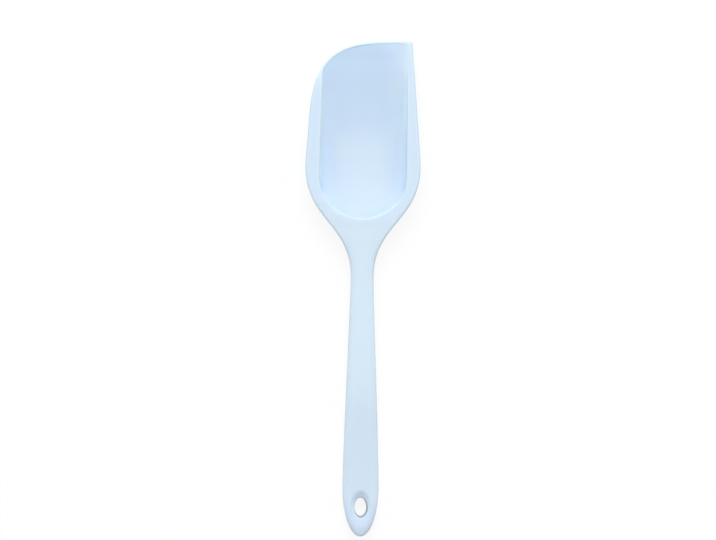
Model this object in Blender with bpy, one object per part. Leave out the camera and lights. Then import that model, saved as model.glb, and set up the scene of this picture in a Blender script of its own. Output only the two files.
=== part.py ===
"""Silicone spoon spatula: a seamless silicone skin moulded over a stiff nylon core."""

# X runs across the tool, +Y from the hanging end to the tip, +Z up from the table that its back lies on.

import math

import bmesh
import bpy
import numpy as np

MM = 0.001

# Outline seen from above
TIP_Y = 144.0 * MM
END_Y = -144.0 * MM
HEAD_HALF = 33.3 * MM
HEAD_WIDE_Y = 75.8 * MM
HEAD_SWEEP = 35.5 * MM
SIDE_TAPER = math.radians(4.33)
TIP_CORNER = 1.3 * MM
SHOULDER_Y = 101.4 * MM
SHOULDER_SWEEP = 35.8 * MM
SHOULDER_END_X = 17.4 * MM
TIP_SWEEP = 31.0 * MM
NECK_HALF = 6.6 * MM
NECK_Y = 7.7 * MM
NECK_SWEEP = 30.9 * MM
NECK_TAPER = 14.9 * MM
HANDLE_HALF = 10.5 * MM
HANDLE_TAPER = 27.2 * MM
END_ROUND = 28.3 * MM

# Heights above the table: the top, the parting line where the two mould halves met, and the underside
RIM_Z = 13.5 * MM
TIP_Z = 12.8 * MM
HANDLE_TOP_Z = 12.4 * MM
HANDLE_END_Z = 8.3 * MM
NECK_TOP_Z = 12.6 * MM
NECK_UNDER_Z = 2.4 * MM
HEAD_PARTING_Z = 12.0 * MM
TIP_UNDER_Z = 10.9 * MM
TIP_PARTING_Z = 11.9 * MM
FLAT_PRESS = 0.4 * MM
HANDLE_FLAT = 14.0 * MM
BELLY_SETBACK = 14.0 * MM
BELLY_REACH = 22.0 * MM
BLADE_LENGTH = 16.6 * MM
HANDLE_LEVEL_Y = -45.0 * MM

# How square each shape is: 2 is an ellipse, and higher powers are fuller
HANDLE_POWER = 3.4
RIM_POWER = 10.0
BELLY_POWER = 2.6
BOWL_POWER = 7.0
SCOOP_POWER = 3.2
CORE_POWER = 3.0
CORE_END_POWER = 4.0
HANDLE_END_POWER = 3.2
ELLIPSE = 2.0

# Bowl
BOWL_HALF = 25.4 * MM
BOWL_END_Y = 39.9 * MM
BOWL_END_ROUND = 25.6 * MM
BOWL_DEEP_Y = 77.0 * MM
BOWL_FLOOR_Z = 6.2 * MM
FLOOR_BEND = 36.0 * MM
BLADE_THICK = 2.7 * MM
LIP = 1.1 * MM
LIP_HEIGHT = 0.6 * MM

# Hanging hole, with a dished countersink on each face
HANG_Y = -126.5 * MM
HANG_HALF_X = 3.5 * MM
HANG_HALF_Y = 5.5 * MM
DISH_HALF_X = 6.2 * MM
DISH_HALF_Y = 9.7 * MM
DISH_DEPTH = 1.8 * MM

# Core, the skin's thickness over it, and the clearances that keep the solids apart
HANDLE_SKIN = 2.6 * MM
PADDLE_SKIN = 1.4 * MM
EYE_LINING = 2.0 * MM
END_SKIN = 3.4 * MM
PADDLE_HALF = 15.0 * MM
PADDLE_START_Y = 50.0 * MM
PADDLE_END_Y = 104.0 * MM
SPINE_END_Y = 27.0 * MM
CORE_GAP = 0.3 * MM

# Keying holes, through which the silicone runs and locks on the core: each is (X, Y, radius)
PADDLE_KEY_R = 3.2 * MM
SPINE_KEY_R = 1.9 * MM
KEYS = (
    (-7.5 * MM, 68.0 * MM, PADDLE_KEY_R),
    (7.5 * MM, 68.0 * MM, PADDLE_KEY_R),
    (-7.5 * MM, 84.0 * MM, PADDLE_KEY_R),
    (7.5 * MM, 84.0 * MM, PADDLE_KEY_R),
    (0.0, -70.0 * MM, SPINE_KEY_R),
    (0.0, -38.0 * MM, SPINE_KEY_R),
    (0.0, -4.0 * MM, SPINE_KEY_R),
)

# Plugs that close the holes left by the pins that held the core in the mould
PLUG_R = 1.7 * MM
PLUG_GAP = 0.3 * MM
PLUG_RECESS = 0.2 * MM
PLUG_YS = (-88.0 * MM, -20.0 * MM, 59.0 * MM, 95.0 * MM)

# Fineness of the faceting
SECTION_SIDES = 32
CORE_SIDES = 20
OVAL_SIDES = 24
PLUG_SIDES = 16
CURVE_STEPS = 24
END_ANGLES = (8.0, 14.0, 22.0, 31.0, 42.0, 55.0, 72.0)
THROUGH = 5.0 * MM

SKIN_SRGB = (214, 231, 248)
CORE_SRGB = (226, 226, 222)
PLUG_SRGB = (208, 226, 244)


def clear_scene():
    for obj in list(bpy.data.objects):
        bpy.data.objects.remove(obj, do_unlink=True)


def principled(name, srgb, roughness):
    """A plain material whose base colour is given as 0 to 255 screen values."""
    linear = [((value / 255 + 0.055) / 1.055) ** 2.4 for value in srgb]
    material = bpy.data.materials.new(name)
    material.use_nodes = True
    shader = material.node_tree.nodes["Principled BSDF"]
    shader.inputs["Base Color"].default_value = (*linear, 1.0)
    shader.inputs["Roughness"].default_value = roughness
    shader.inputs["Metallic"].default_value = 0.0
    material.diffuse_color = (*linear, 1.0)
    return material


def cubic(start, start_handle, end_handle, end):
    """Points along one Bezier piece."""
    t = np.linspace(0.0, 1.0, CURVE_STEPS)[:, None]
    ends = (1 - t) ** 3 * np.array(start) + t**3 * np.array(end)
    return ends + 3 * (1 - t) ** 2 * t * np.array(start_handle) + 3 * (1 - t) * t * t * np.array(end_handle)


def smooth(y, keys):
    """A curve through the key heights that never overshoots them. keys holds (y, value) in rising y."""
    ys, values = (np.array(column) for column in zip(*keys))
    y = min(max(y, ys[0]), ys[-1])
    slopes = np.diff(values) / np.diff(ys)
    tangents = np.zeros(len(ys))
    same_way = slopes[1:] * slopes[:-1] > 0
    tangents[1:-1][same_way] = (2 * slopes[1:] * slopes[:-1] / (slopes[1:] + slopes[:-1] + 1e-12))[same_way]
    index = min(int(np.searchsorted(ys, y, side="right")) - 1, len(ys) - 2)
    width = ys[index + 1] - ys[index]
    t = (y - ys[index]) / width
    rise = values[index + 1] - values[index]
    blend = t * t * (3 - 2 * t)
    start_bend = tangents[index] * width * t * (1 - t) ** 2
    end_bend = tangents[index + 1] * width * t * t * (1 - t)
    return float(values[index] + rise * blend + start_bend - end_bend)


def fall(share, power):
    """How far a rounded end has fallen off at this share of its run, from 1 at its root to 0 at its tip."""
    return (1 - min(max(share, 0.0), 1.0) ** power) ** (1 / power)


def side_x(y):
    """Half-width on the straight side of the head, which narrows to the tip."""
    return HEAD_HALF - (y - HEAD_WIDE_Y) * math.tan(SIDE_TAPER)


def half_outline():
    """Half-width against Y from the handle's end to the head's widest place."""
    taper = np.array((-math.tan(SIDE_TAPER), 1.0))
    handle_end = (HANDLE_HALF, END_Y + END_ROUND)
    neck = (NECK_HALF, NECK_Y)
    head = (HEAD_HALF, HEAD_WIDE_Y)
    handle = cubic(
        handle_end,
        (HANDLE_HALF, handle_end[1] + HANDLE_TAPER),
        (NECK_HALF, NECK_Y - NECK_TAPER),
        neck,
    )
    bell = cubic(neck, (NECK_HALF, NECK_Y + NECK_SWEEP), np.array(head) - taper * HEAD_SWEEP, head)
    return np.vstack((handle, bell[1:]))


HALF_OUTLINE = half_outline()
SHOULDER = cubic(
    (-side_x(SHOULDER_Y), SHOULDER_Y),
    (-side_x(SHOULDER_Y + SHOULDER_SWEEP), SHOULDER_Y + SHOULDER_SWEEP),
    (SHOULDER_END_X - TIP_SWEEP, TIP_Y),
    (SHOULDER_END_X, TIP_Y),
)


def set_in(points, distance):
    """The same curve moved towards the inside of the head, square to its own run."""
    runs = np.gradient(points, axis=0)
    runs /= np.linalg.norm(runs, axis=1)[:, None]
    return points + distance * np.column_stack((runs[:, 1], -runs[:, 0]))


INNER_SHOULDER = set_in(SHOULDER, LIP)


def half_width(y):
    if y >= HEAD_WIDE_Y:
        return side_x(y)
    if y <= END_Y + END_ROUND:
        return HANDLE_HALF * fall((END_Y + END_ROUND - y) / END_ROUND, ELLIPSE)
    return float(np.interp(y, HALF_OUTLINE[:, 1], HALF_OUTLINE[:, 0]))


def right_x(y):
    corner_y = TIP_Y - TIP_CORNER
    if y <= corner_y:
        return half_width(y)
    return side_x(corner_y) - TIP_CORNER + math.sqrt(max(0.0, TIP_CORNER**2 - (y - corner_y) ** 2))


def left_x(y):
    if y <= SHOULDER_Y:
        return -half_width(y)
    return float(np.interp(y, SHOULDER[:, 1], SHOULDER[:, 0]))


def top_z(y):
    return smooth(
        y,
        (
            (END_Y, HANDLE_END_Z),
            (HANG_Y + HANG_HALF_Y, HANDLE_END_Z),
            (HANDLE_LEVEL_Y, HANDLE_TOP_Z),
            (NECK_Y, NECK_TOP_Z),
            (BOWL_END_Y, RIM_Z),
            (SHOULDER_Y, RIM_Z),
            (TIP_Y, TIP_Z),
        ),
    )


def ramp_z(y):
    """The bowl's floor from its lowest place to the tip: it bends up, then runs straight to the lip."""
    run = y - BOWL_DEEP_Y
    whole = TIP_Y - LIP - BOWL_DEEP_Y
    slope = (TIP_Z - LIP_HEIGHT - BOWL_FLOOR_Z) / (whole - FLOOR_BEND / 2)
    bent = min(run, FLOOR_BEND)
    return BOWL_FLOOR_Z + slope * (bent**2 / (2 * FLOOR_BEND) + run - bent)


def under_z(y):
    """The underside along the middle. Below zero it is pressed flat, where the tool stands."""
    return smooth(
        y,
        (
            (END_Y, -FLAT_PRESS),
            (END_Y + END_ROUND + HANDLE_FLAT, -FLAT_PRESS),
            (NECK_Y, NECK_UNDER_Z),
            (BOWL_END_Y + BELLY_SETBACK, -FLAT_PRESS),
            (BOWL_DEEP_Y + BELLY_REACH, -FLAT_PRESS),
            (TIP_Y - BLADE_LENGTH, ramp_z(TIP_Y - BLADE_LENGTH) - BLADE_THICK),
            (TIP_Y, TIP_UNDER_Z),
        ),
    )


def parting_z(y):
    handle_middle = (top_z(y) + under_z(y)) / 2
    share = smooth(y, ((NECK_Y, 0.0), (BOWL_END_Y, 1.0)))
    head = smooth(y, ((SHOULDER_Y, HEAD_PARTING_Z), (TIP_Y, TIP_PARTING_Z)))
    return handle_middle + (head - handle_middle) * share


def top_round(y):
    return smooth(y, ((NECK_Y, HANDLE_POWER), (BOWL_END_Y, RIM_POWER)))


def end_fullness(y):
    """The share of its full thickness that the rounded end of the handle has at y."""
    return fall((END_Y + END_ROUND - y) / END_ROUND, HANDLE_END_POWER)


def floor_z(y):
    """The bowl's floor along the middle: scooped up to the rim at the neck, and up to the lip at the tip."""
    if y >= BOWL_DEEP_Y:
        return ramp_z(y)
    scoop = fall((BOWL_DEEP_Y - y) / (BOWL_DEEP_Y - BOWL_END_Y), SCOOP_POWER)
    return RIM_Z - (RIM_Z - BOWL_FLOOR_Z) * scoop


def ring(y, left, right, middle_z, up, down, top_n, under_n, count, lowest=-1.0):
    """One closed cross-section at y: a squared oval whose upper and lower halves differ."""
    points = []
    centre = (left + right) / 2
    half = (right - left) / 2
    for index in range(count):
        angle = 2 * math.pi * (index + 0.5) / count
        across, along = math.cos(angle), math.sin(angle)
        power = 2 / (top_n if along > 0 else under_n)
        x = centre + half * math.copysign(abs(across) ** power, across)
        z = middle_z + (up if along > 0 else down) * math.copysign(abs(along) ** power, along)
        points.append((x, y, max(z, lowest)))
    return points


def oval(z, x, y, half_x, half_y, count):
    """One closed level oval."""
    angles = [2 * math.pi * (index + 0.5) / count for index in range(count)]
    return [(x + half_x * math.cos(a), y + half_y * math.sin(a), z) for a in angles]


def loft(name, rings):
    """A closed solid through rings that have the same number of points, with flat ends."""
    mesh = bpy.data.meshes.new(name)
    shape = bmesh.new()
    loops = []
    for points in rings:
        corners = [shape.verts.new(point) for point in points]
        loops.append([shape.edges.new(pair) for pair in zip(corners, corners[1:] + corners[:1])])
        if points is rings[0] or points is rings[-1]:
            shape.faces.new(corners)
    for first, second in zip(loops, loops[1:]):
        bmesh.ops.bridge_loops(shape, edges=first + second)
    bmesh.ops.recalc_face_normals(shape, faces=shape.faces)
    shape.to_mesh(mesh)
    shape.free()
    mesh.shade_smooth()
    mesh.set_sharp_from_angle(angle=math.radians(35))
    obj = bpy.data.objects.new(name, mesh)
    bpy.context.collection.objects.link(obj)
    return obj


def as_cutter(obj):
    obj.hide_render = True
    obj.display_type = "WIRE"
    return obj


def cut(obj, cutter):
    modifier = obj.modifiers.new("cut " + cutter.name, "BOOLEAN")
    modifier.operation = "DIFFERENCE"
    modifier.solver = "EXACT"
    modifier.object = cutter


def stations(start, end, count):
    """Evenly spaced Y values from start up to but not with end."""
    return list(np.linspace(start, end, count, endpoint=False))


def rounded_end(end, length, angles=END_ANGLES):
    """Y values that crowd towards the rounded end of a shape."""
    return [end + length * (1 - math.cos(math.radians(angle))) for angle in angles]


def skin_blank():
    ys = [END_Y]
    ys += rounded_end(END_Y, END_ROUND)[1:]
    ys += stations(END_Y + END_ROUND, NECK_Y, 7)
    ys += stations(NECK_Y, HEAD_WIDE_Y, 10)
    ys += stations(HEAD_WIDE_Y, SHOULDER_Y, 3)
    ys += [TIP_Y - (TIP_Y - SHOULDER_Y) * (1 - step / 10) ** 2 for step in range(10)]
    ys += [TIP_Y - 0.15 * TIP_CORNER, TIP_Y]
    rings = []
    for y in ys:
        inside = max(y, rounded_end(END_Y, END_ROUND)[0])
        full = end_fullness(inside)
        middle = parting_z(y)
        up = (top_z(y) - middle) * full
        down = (middle - under_z(y)) * full
        left, right = left_x(inside), right_x(inside)
        shape = (top_round(y), smooth(y, ((NECK_Y, HANDLE_POWER), (HEAD_WIDE_Y, BELLY_POWER))))
        rings.append(ring(y, left, right, middle, up, down, *shape, SECTION_SIDES, lowest=0.0))
    return loft("skin", rings)


def bowl_cutter():
    top_end = TIP_Y - LIP
    ys = rounded_end(BOWL_END_Y, BOWL_END_ROUND)
    ys += stations(BOWL_END_Y + BOWL_END_ROUND, SHOULDER_Y, 6)
    ys += [top_end - (top_end - SHOULDER_Y) * (1 - step / 10) ** 2 for step in range(11)]
    rings = []
    for y in ys:
        short = (BOWL_END_Y + BOWL_END_ROUND - y) / BOWL_END_ROUND
        half = BOWL_HALF * fall(short, ELLIPSE)
        left = max(-half, float(np.interp(y, INNER_SHOULDER[:, 1], INNER_SHOULDER[:, 0])))
        right = min(half, right_x(y) - LIP)
        depth = top_z(y) - floor_z(y)
        rings.append(
            ring(y, left, right, top_z(y), THROUGH, depth, RIM_POWER, BOWL_POWER, SECTION_SIDES)
        )
    return as_cutter(loft("bowl_cutter", rings))


def hang_cutter():
    """The hanging hole: straight in the middle and flared into a dish at the top and at the back."""
    top, under = top_z(HANG_Y), max(under_z(HANG_Y), 0.0)
    levels = []
    for share in (-THROUGH / DISH_DEPTH, 0.0, 0.25, 0.5, 0.75, 1.0):
        flare = math.sqrt(1 - max(share, 0.0)) if share > 0 else 1 - min(share, 0.0) * 0.1
        levels.append((share * DISH_DEPTH, flare))
    rings = [(under + depth, flare) for depth, flare in levels]
    rings += [(top - depth, flare) for depth, flare in reversed(levels)]
    ovals = []
    for z, flare in rings:
        half_x = HANG_HALF_X + (DISH_HALF_X - HANG_HALF_X) * flare
        half_y = HANG_HALF_Y + (DISH_HALF_Y - HANG_HALF_Y) * flare
        ovals.append(oval(z, 0.0, HANG_Y, half_x, half_y, OVAL_SIDES))
    return as_cutter(loft("hang_cutter", ovals))


def post_cutter(name, x, y, half_x, half_y):
    """A straight hole right through in Z."""
    ovals = [oval(z, x, y, half_x, half_y, OVAL_SIDES) for z in (-THROUGH, RIM_Z + THROUGH)]
    return as_cutter(loft(name, ovals))


def core_section(y):
    """Half-width, lowest and highest point of the core at y."""
    share = smooth(y, ((SPINE_END_Y, 0.0), (PADDLE_START_Y, 1.0)))
    spine_half = half_width(min(y, NECK_Y)) - HANDLE_SKIN
    half = spine_half + (PADDLE_HALF - spine_half) * share
    low = max(under_z(y), 0.0) + HANDLE_SKIN + (PADDLE_SKIN - HANDLE_SKIN) * share
    high = min(top_z(y) - HANDLE_SKIN, floor_z(max(y, BOWL_END_Y)) - PADDLE_SKIN)
    return half, low, high


def core_body(name, grow):
    """The core's body, or with grow the space that the skin leaves for it."""
    end = END_Y + END_SKIN
    cap = END_ROUND - END_SKIN
    nose = PADDLE_HALF
    nose_ys = [PADDLE_END_Y - (y - PADDLE_END_Y) for y in rounded_end(PADDLE_END_Y, nose)]
    ys = rounded_end(end, cap) + stations(end + cap, SPINE_END_Y, 6)
    ys += stations(SPINE_END_Y, PADDLE_START_Y, 6)
    ys += stations(PADDLE_START_Y, PADDLE_END_Y - nose, 4) + nose_ys[::-1]
    rings = []
    for y in ys:
        half, low, high = core_section(y)
        to_end = (end + cap - y) / cap
        if to_end > 0:
            half = (HANDLE_HALF - HANDLE_SKIN) * fall(to_end, ELLIPSE)
        half *= fall((y - PADDLE_END_Y + nose) / nose, ELLIPSE)
        thick = (high - low) / 2 * fall(to_end, CORE_END_POWER)
        middle = (high + low) / 2
        place = y + (grow if y == ys[-1] else -grow if y == ys[0] else 0.0)
        half, thick = half + grow, thick + grow
        shape = (CORE_POWER, CORE_POWER, CORE_SIDES)
        rings.append(ring(place, -half, half, middle, thick, thick, *shape))
    return loft(name, rings)


def pierce_core(obj, shrink):
    """Cuts the eye and the keying holes. shrink leaves the silicone in them clear of the core."""
    eye_x = HANG_HALF_X + EYE_LINING - shrink
    eye_y = HANG_HALF_Y + EYE_LINING - shrink
    cut(obj, post_cutter(obj.name + "_eye", 0.0, HANG_Y, eye_x, eye_y))
    for index, (x, y, radius) in enumerate(KEYS, 1):
        cut(obj, post_cutter(f"{obj.name}_key_{index}", x, y, radius - shrink, radius - shrink))


def pin(name, y, radius, low, high):
    """An upright round bar on the centreline."""
    mesh = bpy.data.meshes.new(name)
    shape = bmesh.new()
    bmesh.ops.create_cone(
        shape, cap_ends=True, segments=PLUG_SIDES, radius1=radius, radius2=radius, depth=high - low
    )
    shape.to_mesh(mesh)
    shape.free()
    mesh.shade_smooth()
    mesh.set_sharp_from_angle(angle=math.radians(35))
    obj = bpy.data.objects.new(name, mesh)
    bpy.context.collection.objects.link(obj)
    obj.location = (0.0, y, (low + high) / 2)
    return obj


def main():
    clear_scene()
    skin = skin_blank()
    cut(skin, bowl_cutter())
    core = core_body("core", 0.0)
    pierce_core(core, 0.0)
    cavity = as_cutter(core_body("cavity", CORE_GAP))
    pierce_core(cavity, CORE_GAP)
    cut(skin, cavity)
    cut(skin, hang_cutter())
    plugs = []
    for index, y in enumerate(PLUG_YS, 1):
        core_low = core_section(y)[1]
        outside = max(under_z(y), 0.0)
        hole = pin(f"pin_hole_{index}", y, PLUG_R + PLUG_GAP, outside - THROUGH, core_low + CORE_GAP)
        cut(skin, as_cutter(hole))
        low, high = outside + PLUG_RECESS, core_low - PLUG_GAP
        plugs.append(pin(f"locating_plug_{index}", y, PLUG_R, low, high))
    skin.data.materials.append(principled("silicone skin", SKIN_SRGB, 0.55))
    core.data.materials.append(principled("nylon core", CORE_SRGB, 0.45))
    plug_material = principled("silicone plug", PLUG_SRGB, 0.6)
    for plug in plugs:
        plug.data.materials.append(plug_material)


main()
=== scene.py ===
"""The looks of a silicone spoon spatula: moulded skin, nylon core, locating plugs and a studio stage."""

import math

import bmesh
import bpy
import numpy as np
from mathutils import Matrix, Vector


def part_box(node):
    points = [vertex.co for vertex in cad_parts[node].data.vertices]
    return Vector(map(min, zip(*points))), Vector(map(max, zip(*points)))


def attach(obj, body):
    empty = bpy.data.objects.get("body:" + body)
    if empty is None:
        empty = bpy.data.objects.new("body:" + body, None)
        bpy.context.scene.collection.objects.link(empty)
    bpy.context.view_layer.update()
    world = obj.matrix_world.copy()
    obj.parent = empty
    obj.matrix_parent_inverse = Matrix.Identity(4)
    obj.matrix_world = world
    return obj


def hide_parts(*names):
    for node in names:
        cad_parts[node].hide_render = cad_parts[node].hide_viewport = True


bl_info = {
    "name": "Silicone spoon spatula",
    "version": (1, 0, 0),
    "blender": (4, 5, 0),
    "location": "3D View > Sidebar > Spatula",
    "description": "Models a one-piece silicone spoon spatula round its packed frame",
    "category": "Add Mesh",
}

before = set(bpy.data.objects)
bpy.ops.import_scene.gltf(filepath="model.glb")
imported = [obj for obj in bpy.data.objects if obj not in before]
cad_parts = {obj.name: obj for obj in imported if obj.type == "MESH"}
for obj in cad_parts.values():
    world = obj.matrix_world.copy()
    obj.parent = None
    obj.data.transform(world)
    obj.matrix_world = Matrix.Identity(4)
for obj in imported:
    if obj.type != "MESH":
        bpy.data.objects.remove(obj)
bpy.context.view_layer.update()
SKIN_LOW, SKIN_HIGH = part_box("skin")
PLUGS = sorted(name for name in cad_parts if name.startswith("locating_plug"))

# Cage of the skin: faces across the neck, and the turns of its edge rows above and below the parting line
NECK_COLUMNS = 12
EDGE_ANGLES = (90.0, 65.0, 40.0, 18.0)
SIDE_ANGLES = (40.0, 30.0, 20.0, 10.0)
ROWS = [f"over {row}" for row in range(4)] + ["parting"] + [f"below {row}" for row in range(4)]
# Points along a curve and round a quarter turn
CURVE_STEPS = 60
QUARTER_POINTS = 12
# Points this near each other are one
MERGE = 1e-5
# A face turned this squarely along the handle spans the place where the handle leaves
SPANNING = 0.9
# These keep a division from failing
TINY = 1e-6
LEVEL = 1e-12

# Where the handle's loops leave the head and meet the end, and how many lie between
HEAD_CUT_Y = 0.024
END_CUT_Y = -0.1105
HANDLE_LOOPS = 24

# Spokes of the head: round each side of the neck, along each side, and up to, round and past the square
# corner of the tip, with a gap in degrees before and after it
BELL_SPOKES = 18
SIDE_SPOKES = 13
TIP_SPOKES = (8, 5, 28)
CORNER_GAP = 1.7
# From the tip edge back to where the tip's spokes meet, how far the tip's loops run on past there, and the
# radius of the bowl's own square corner
TIP_HUB = 0.027
RUN_ON = 0.002
BOWL_CORNER = 0.003
# A spoke that meets the outline at a slant spreads its edge rows, but never by more than this
MOST_SPREAD = 2.0
# Spokes of the handle's end on each side of the hanging hole
END_SPOKES = 18

# Beside the bowl this much of the rim stays flat, and at most this share of the rest rounds its outer edge
RIM_FLAT = 0.0005
EDGE_SHARE = 0.55
# The resting flats ease into the round underside within this share of the depth they are pressed to
FLAT_EASE = 0.75
# A wall of the bowl this high takes its rings' insets whole, and the lowest takes this share of them
FULL_WALL = 0.003
LOWEST_WALL = 0.3

# Rings of the floor from the bowl's middle line at 0 to its edge at 1, and of the underside on the way back
FLOOR_OUTS = (0.0, 0.09, 0.26, 0.44, 0.61, 0.75, 0.86)
UNDER_INS = (0.14, 0.34, 0.58, 0.84, 1.0)
# The foot of the bowl's wall: each ring's inset from the bowl's edge for the lowest wall and for a full one
FOOT_RINGS = (("foot in", 0.00050, 0.00026), ("foot", 0.00030, 0.00002))
# The wall: those insets, whether a ring is measured up from the foot or down from the rim, and how far that
# is, at most and as a share of the wall
WALL_RINGS = (
    ("wall 1", 0.00018, -0.00014, "up", 0.00010, 0.10),
    ("wall 2", 0.00006, -0.00020, "up", 0.00050, 0.35),
    ("wall 3", -0.00006, -0.00015, "down", 0.00030, 0.35),
    ("wall 4", -0.00018, -0.00005, "down", 0.00007, 0.10),
    ("rim in", -0.00032, -0.00018, "down", 0.0, 0.0),
)
# Two rings on the rim, and on the land round the dish, from its inner edge at 0 to its outer edge at 1
LAND_SHARES = (0.34, 0.68)
# The dish round the hanging hole: from the hole's edge at 0 to the dish's edge at 1, and how far down as a
# share of the dish's depth
DISH_RINGS = (
    ("wall", -0.03, 1.55),
    ("lip", 0.03, 1.08),
    ("dish 1", 0.16, 0.90),
    ("dish 2", 0.45, 0.58),
    ("dish 3", 0.78, 0.22),
    ("dish 4", 0.98, 0.05),
    ("brim", 1.18, 0.0),
)
# On the same scale, how far out the flare of the hole's upper edge reaches
FLARE_OUT = 0.3
HEAD_ORDER = (
    [f"floor {index}" for index in range(1, len(FLOOR_OUTS))]
    + [ring[0] for ring in FOOT_RINGS + WALL_RINGS]
    + ["rim 1", "rim 2"]
    + ROWS
    + [f"under {index}" for index in range(len(UNDER_INS))]
)
END_ORDER = (
    ["hole"]
    + [f"{ring[0]} top" for ring in DISH_RINGS]
    + ["land 1 top", "land 2 top"]
    + ROWS
    + ["land 2 under", "land 1 under"]
    + [f"{ring[0]} under" for ring in reversed(DISH_RINGS)]
    + ["hole"]
)

# Where each patch of painted light or shade on the silicone, and the thin colour, starts and where it is
# whole, along Y. A name that ends in X or Z is along that axis, and one that ends in SIDE is a distance
# from the middle line
HEAD_FROM = (0.0385, 0.0400)
HANDLE_FROM_NECK = (0.0400, 0.0300)
HANDLE_FROM_END = (-0.078, -0.050)
UPPER_FROM_Z = (0.0035, 0.0047)
BLADE_RISES = (0.095, 0.143)
# Over that stretch the painted tones follow the blade's underside up by this much
BLADE_RISE_Z = 0.0072
BELOW_RIM_Z = (0.00006, 0.00018)
LIP_FROM = (0.112, 0.128)
LIP_RIGHT_END_X = (0.0245, 0.0200)
THIN_FROM = (0.080, 0.102)
THIN_BESIDE_FROM = (0.050, 0.068)
THIN_BESIDE_SIDE = (0.009, 0.022)
# Beside the core's paddle the blade takes this share of the thin colour: partly the thin silicone's own
# tone, partly painted shade towards the side walls
THIN_BESIDE_SHARE = 0.55
OFF_CORNER_X = (0.027, 0.008)
BEFORE_CORNER = (0.122, 0.108)
FOOT_FROM = (0.055, 0.070)
FOOT_INNER_SIDE = (0.0228, 0.0246)
FOOT_OUTER_SIDE = (0.0275, 0.0262)
LEFT_FOOT_X = (-0.0225, -0.0240)
FLOOR_SIDE = (0.012, 0.020)
FLOOR_SIDE_FROM = (0.088, 0.098)
FLOOR_SIDE_TO = (0.118, 0.108)
TIP_EDGE_FROM = (0.128, 0.139)
# The painted shade at the foot of the wall by the neck is whole from here towards the neck
NECK_FOOT_TO = 0.056
LOWER_HOLE_FROM = (-0.1210, -0.1300)
END_EDGE_FROM = (-0.1360, -0.1400)
# As shares of an oval, 1 at its edge: the painted shade at the foot of the wall at the bowl's neck end, and
# the painted shade on the hole's wall
NECK_FOOT_OVAL = (0.78, 0.95)
HOLE_OVAL = (1.06, 1.0)
# The share of its flare by which the hole's oval of painted shade is moved and widened
FLARE_SHIFT = 0.35

# The table and the soft boxes
TABLE_SIZE = 6.0
KEY_SIZE = (5.2, 4.2)
SIDE_SIZE = (3.0, 2.4)


def length(name, description, default):
    return bpy.props.FloatProperty(
        name=name, description=description, default=default, unit="LENGTH", precision=5
    )


def angle_size(name, description, default):
    return bpy.props.FloatProperty(name=name, description=description, default=default, subtype="ANGLE")


def amount(name, description, default):
    return bpy.props.FloatProperty(name=name, description=description, default=default, min=0.0)


def fraction(name, description, default):
    return bpy.props.FloatProperty(name=name, description=description, default=default, min=0.0, max=1.0)


def fullness(name, default):
    """How square a cross-section is."""
    about = "2 is an ellipse, more is squarer"
    return bpy.props.FloatProperty(name=name, description=about, default=default, min=2.0, max=20.0)


def colour(name, description, srgb):
    return bpy.props.FloatVectorProperty(
        name=name, description=description, subtype="COLOR", size=3, min=0.0, max=1.0, default=linear(srgb)
    )


def linear(srgb):
    """Screen values of 0 to 255 as scene linear ones."""
    return tuple(((value / 255 + 0.055) / 1.055) ** 2.4 for value in srgb)


class SpatulaOutline(bpy.types.PropertyGroup):
    """Sizes of the outline seen from above."""

    tip_y: length("Tip", "The straight edge of the blade", SKIN_HIGH.y)
    end_y: length("Hanging end", "The far end of the handle", SKIN_LOW.y)
    head_half: length("Head half-width", "Half the width at the widest place", 0.0333)
    head_wide_y: length("Widest place", "Where the head is widest", 0.0758)
    head_sweep: length("Head sweep", "Reach of the bell curve below the widest place", 0.0355)
    side_taper: angle_size("Side taper", "How the sides close in to the tip", 0.07557)
    tip_corner: length("Tip corner", "Radius of the square corner", 0.0013)
    shoulder_y: length("Shoulder start", "Where the swept shoulder leaves the side", 0.1014)
    shoulder_sweep: length("Shoulder sweep", "Reach of the shoulder's curve up the side", 0.0358)
    shoulder_end_x: length("Shoulder end", "Where the shoulder meets the tip edge", 0.0174)
    tip_sweep: length("Tip sweep", "Reach of the shoulder's curve along the tip edge", 0.0310)
    neck_half: length("Neck half-width", "Half the width at the narrowest place", 0.0066)
    neck_y: length("Neck", "The narrowest place", 0.0077)
    neck_sweep: length("Neck sweep", "Reach of the bell curve above the neck", 0.0309)
    neck_taper: length("Neck taper", "Reach of the handle's curve below the neck", 0.0149)
    handle_half: length("Handle half-width", "Half the width at the handle's widest place", 0.0105)
    handle_taper: length("Handle taper", "Reach of the handle's curve above its end", 0.0272)
    end_round: length("End round", "Length of the rounded end", 0.0283)


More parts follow.
